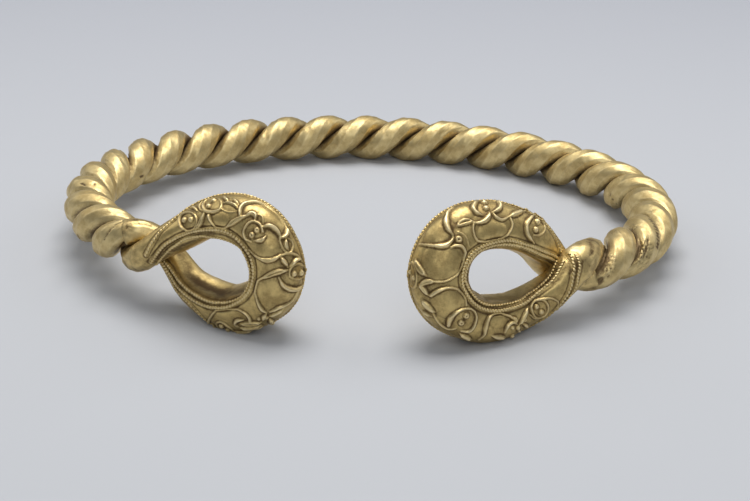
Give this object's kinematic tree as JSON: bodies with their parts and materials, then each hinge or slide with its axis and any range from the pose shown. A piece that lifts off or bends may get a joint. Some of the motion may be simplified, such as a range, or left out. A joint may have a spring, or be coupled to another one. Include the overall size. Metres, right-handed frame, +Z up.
{
  "type": "twisted gold torc",
  "caption": "Open neck ring of twisted gold rods, its two ends cast as teardrop loops with scrolling relief inside cable borders.",
  "frame": {"origin": "on the surface the torc lies on, below the middle of its bounding box", "axes": "+X across the hoop to the right-hand loop, -Y towards the gap between the loops, +Z up from the surface"},
  "size_m": [0.1839, 0.1545, 0.0371],
  "materials": {
    "rod_gold": "hammered gold, worn to a soft satin shine, brown dirt in the hollows",
    "cast_gold": "cast gold with relief, satin, raised edges worn bright and brown dirt in the ground"
  },
  "bodies": {
    "root": {"rod_one": "rod_gold", "rod_two": "rod_gold", "left_terminal": "cast_gold", "right_terminal": "cast_gold"}
  },
  "joints": []
}
